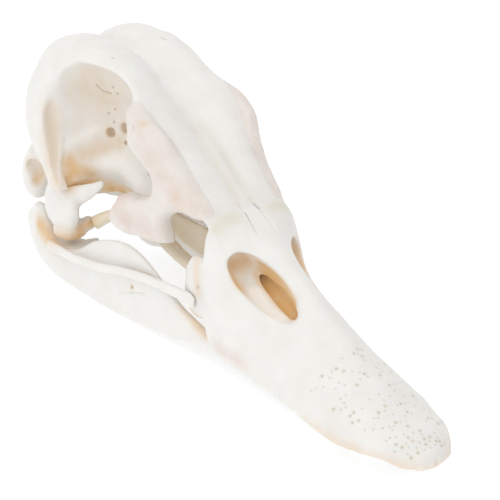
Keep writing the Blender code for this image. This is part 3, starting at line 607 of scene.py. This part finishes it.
def keep_main(piece):
    """Drop scraps that a cut leaves and keep the largest closed surface."""
    bm = bmesh.new()
    bm.from_mesh(piece.data)
    left = set(bm.verts)
    shells = []
    while left:
        front = [left.pop()]
        found = list(front)
        while front:
            for edge in front.pop().link_edges:
                for vert in edge.verts:
                    if vert in left:
                        left.discard(vert)
                        front.append(vert)
                        found.append(vert)
        shells.append(found)
    shells.sort(key=len)
    for scrap in shells[:-1]:
        bmesh.ops.delete(bm, geom=scrap, context="VERTS")
    bm.to_mesh(piece.data)
    bm.free()


def parted(piece, tool):
    """Take from the piece what lies inside the tool, as a new piece."""
    taken = piece.copy()
    taken.data = piece.data.copy()
    bpy.context.collection.objects.link(taken)
    cut_with(taken, tool, "INTERSECT")
    cut_with(piece, tool, "DIFFERENCE")
    keep_main(taken)
    return taken


def hollowness(piece):
    """The share of each point's sky that the skull itself hides, from 0 to 1.

    The second result counts the inner faces of walls too, which a deep cut looks at from within."""
    fan = []
    for k in range(SKY_RAYS):
        high = 1 - (k + 0.5) / SKY_RAYS
        turn = k * GOLDEN_ANGLE
        wide = (1 - high) ** 0.5
        fan.append((wide * cos(turn), wide * sin(turn), high ** 0.5))
    hidden = np.zeros(len(piece.data.vertices))
    covered = np.zeros(len(piece.data.vertices))
    for vert in piece.data.vertices:
        normal = vert.normal
        side = normal.orthogonal().normalized()
        other = normal.cross(side)
        start = vert.co + normal * SKY_START
        for a, b, c in fan:
            ray = side * a + other * b + normal * c
            spot, facing = solids.ray_cast(start, ray, SKY_REACH)[:2]
            if spot is not None:
                covered[vert.index] += 1 / SKY_RAYS
                hidden[vert.index] += (facing.dot(ray) < 0) / SKY_RAYS
    edges = np.empty(len(piece.data.edges) * 2, dtype=np.int32)
    piece.data.edges.foreach_get("vertices", edges)
    edges = edges.reshape(-1, 2)
    size = len(hidden)
    degree = np.bincount(edges.ravel(), minlength=size)
    spread = []
    for share in (hidden, covered):
        for _ in range(SPREAD_ROUNDS):
            total = (np.bincount(edges[:, 0], share[edges[:, 1]], size)
                     + np.bincount(edges[:, 1], share[edges[:, 0]], size))
            share = (1 - SPREAD_SHARE) * share + SPREAD_SHARE * total / np.maximum(degree, 1)
        spread.append(share)
    return spread


def finish_bone(piece, node, material, stain_and_shade=0.75, start=0.5):
    """Write the marks, shade it smooth, and let the piece take the node's place.

    Ochre, painted shade in hollows that also stands for grease, grows from none, where this share of the sky
    is hidden, to its full strength where all of it is."""
    points = spots(piece)
    values = {name: np.zeros(len(points)) for name in ("ochre_and_shade", "deep", "dark_and_shade", "pink", "green", "painted_light")}
    hidden, covered = hollowness(piece)
    # Ochre from hidden sky is painted shade, and stands for grease in the hollows too.
    values["ochre_and_shade"] = stain_and_shade * np.clip((hidden - start) / (1 - start), 0, 1)
    for name, line, width, strength, both, edge, apart in MARKS:
        near = strength * np.exp(-(gap_to(points, line, both, apart) / width) ** edge)
        values[name] = np.maximum(values[name], near)
    deep = values.pop("deep") * np.clip(covered / DEEP_FROM, 0, 1)
    values["ochre_and_shade"] = np.maximum(values["ochre_and_shade"], deep) * (1 - values["painted_light"])
    for name, value in values.items():
        layer = piece.data.attributes.new(name, "FLOAT", "POINT")
        layer.data.foreach_set("value", np.clip(value, 0, 1).astype(np.float32))
    only(piece)
    bpy.ops.object.shade_smooth_by_angle(angle=CREASE)
    piece.data.materials.clear()
    piece.data.materials.append(material)
    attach(piece, "root")
    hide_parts(node)


tools = {}
for name in SHELL_BONES[1:]:
    tools[name] = bone_copy(name, TOOL_SWELL)
    remeshed(tools[name], TOOL_CELL, TOOL_ROUNDS)
parts = {name: parted(shell, tool) for name, tool in tools.items()}
keep_main(shell)
for tool in tools.values():
    bpy.data.objects.remove(tool)
shell.name = "cranium_bone"
shaped(shell, "DECIMATE", ratio=CRANIUM_THINNING)
finish_bone(shell, "cranium", white_bone, stain_and_shade=0.5, start=0.5)

# Lacrimals: the bone at the front of each eye socket, with a blade that sweeps back under the eye.
# It is porous and rough, and grown on to the frontal above it.
for name in ("lacrimal_left", "lacrimal_right"):
    piece = parts[name]
    piece.name = name + "_bone"
    uneven(piece, grain=0.0012, strength=0.0002)
    finish_bone(piece, name, porous_bone)

# Upper bill: premaxilla, nasals and maxillae, one long, hollow spoon of bone with a thin edge.
# In life a leathery skin with many nerves covers it, which is gone.
BILL_THINNING = 0.92
bill = parts["upper_bill"]
bill.name = "upper_bill_bone"
shaped(bill, "DECIMATE", ratio=BILL_THINNING)
finish_bone(bill, "upper_bill", white_bone, stain_and_shade=0.65, start=0.45)

# Mandible: the two halves of the lower jaw, grown together at the tip, each a thin strip of compact bone.
# It lies on the table, so nothing of it goes below. A vessel's hole, with a slit under it, is in each side.
MANDIBLE_ROUNDS = 6
JAW_END = [(12.8, 113.0, 9.0), (12.8, 116.5, 11.8)]
JAW_HOLE = [(13.6, 81.4, 8.7)]
JAW_SLIT = [(14.0, 85.6, 5.6), (13.7, 82.5, 7.0), (13.5, 80.3, 7.9), (13.2, 77.5, 8.9)]
mandible = bone_copy("mandible")
remeshed(mandible, SHELL_CELL, MANDIBLE_ROUNDS)
uneven(mandible, grain=0.006, strength=0.0002)
jaw_points = spots(mandible)
jaw_points[:, 2] = np.maximum(jaw_points[:, 2], 0)
move_to(mandible, jaw_points)
refine(mandible, JAW_SLIT, width=1.6)
press(mandible, JAW_END, width=1.6, depth=-1.1)
press(mandible, JAW_HOLE, width=0.34, depth=0.4)
press(mandible, JAW_SLIT, width=0.2, depth=0.2)
# The hole and slit are painted dark inside as painted shade, with ochre round the hole.
mark("ochre_and_shade", JAW_HOLE, width=0.6, strength=0.6)
mark("dark_and_shade", JAW_HOLE, width=0.3, strength=0.6)
mark("dark_and_shade", JAW_SLIT[1:], width=0.12, strength=0.3)
finish_bone(mandible, "mandible", white_bone, stain_and_shade=0.45)

# Quadrates: the two short, forked bones that carry the lower jaw, each in a socket of the braincase.
# The gristle of their joints is gone, so they are swollen until they touch their neighbours.
TOUCH = 0.00015
QUADRATE_CELL = 0.00022
QUADRATE_ROUNDS = 5


def small_bone(name, material, cell, rounds):
    """A bone of the frame, swollen to touch its neighbours and smoothed."""
    piece = bone_copy(name, TOUCH)
    remeshed(piece, cell, rounds)
    finish_bone(piece, name, material, stain_and_shade=0.2)


for side in ("left", "right"):
    small_bone("quadrate_" + side, white_bone, QUADRATE_CELL, QUADRATE_ROUNDS)

# Jugal bars: a thin rod of bone on each side, which runs from the quadrate to the bill and lifts it.
# They are compact bone, bleached white.
JUGAL_CELL = 0.0002
JUGAL_ROUNDS = 3
for side in ("left", "right"):
    small_bone("jugal_bar_" + side, white_bone, JUGAL_CELL, JUGAL_ROUNDS)

# Pterygoids: a short rod on each side, from the quadrate to the palate.
# They lie deep in the skull, stay stained, and are painted lighter as painted light.
PTERYGOID_CELL = 0.0002
PTERYGOID_ROUNDS = 3
for side in ("left", "right"):
    small_bone("pterygoid_" + side, stained_bone, PTERYGOID_CELL, PTERYGOID_ROUNDS)

# Palate: the two palatines and the vomer's thin upright sheet between them, which show through the window
# before each eye. They are stained, and painted lighter as painted light, as the pterygoids are.
PALATE_CELL = 0.00022
PALATE_ROUNDS = 3
small_bone("palate", stained_bone, PALATE_CELL, PALATE_ROUNDS)

# Table: a matt white acrylic sheet, sanded so that it shows no reflections.
# It is lit from below as on a light table, so that shadows on it stay faint.
TABLE_SIZE = 4
TABLE_GLOW = 0.57
bpy.ops.mesh.primitive_plane_add(size=TABLE_SIZE)
table = bpy.context.active_object
table.name = "table"
sheet = bpy.data.materials.new("white_acrylic_sheet")
sheet.use_nodes = True
sheet_shader = sheet.node_tree.nodes["Principled BSDF"]
sheet_shader.inputs["Base Color"].default_value = linear("#C8CACC")
sheet_shader.inputs["Roughness"].default_value = 0.7
sheet_shader.inputs["Emission Color"].default_value = linear("#FDFEFF")
sheet_shader.inputs["Emission Strength"].default_value = TABLE_GLOW
table.data.materials.append(sheet)

# Light: a bright white room with a dark flag on the right, which shades that side of the bones.
# A broad, soft lamp hangs overhead.
FLAG_WAY = (0.777, -0.629, 0)
FLAG_EDGE = 0.75
FLAG_HEART = 0.95
ROOM_GLOW = 0.94
LAMP_PLACE = (-0.2, -0.1, 0.75)
LAMP_WATTS = 0.9
LAMP_SIZE = 0.5
world = bpy.data.worlds.new("studio")
bpy.context.scene.world = world
world.use_nodes = True
room = world.node_tree
way = add(room, "ShaderNodeTexCoord", {}, {}).outputs["Generated"]
toward = add(room, "ShaderNodeVectorMath", {"operation": "DOT_PRODUCT"}, {0: way, 1: FLAG_WAY})
dimmed = add(room, "ShaderNodeMapRange", {},
             {"Value": toward.outputs["Value"], "From Min": FLAG_EDGE, "From Max": FLAG_HEART,
              "To Min": ROOM_GLOW, "To Max": 0.0})
room.nodes["Background"].inputs["Color"].default_value = (1, 1, 1, 1)
room.links.new(dimmed.outputs["Result"], room.nodes["Background"].inputs["Strength"])
bpy.ops.object.light_add(type="AREA", location=LAMP_PLACE)
lamp = bpy.context.active_object
lamp.data.energy = LAMP_WATTS
lamp.data.size = LAMP_SIZE
lamp.rotation_euler = Vector(LAMP_PLACE).to_track_quat("Z", "Y").to_euler()
bpy.context.scene.view_settings.view_transform = "Standard"
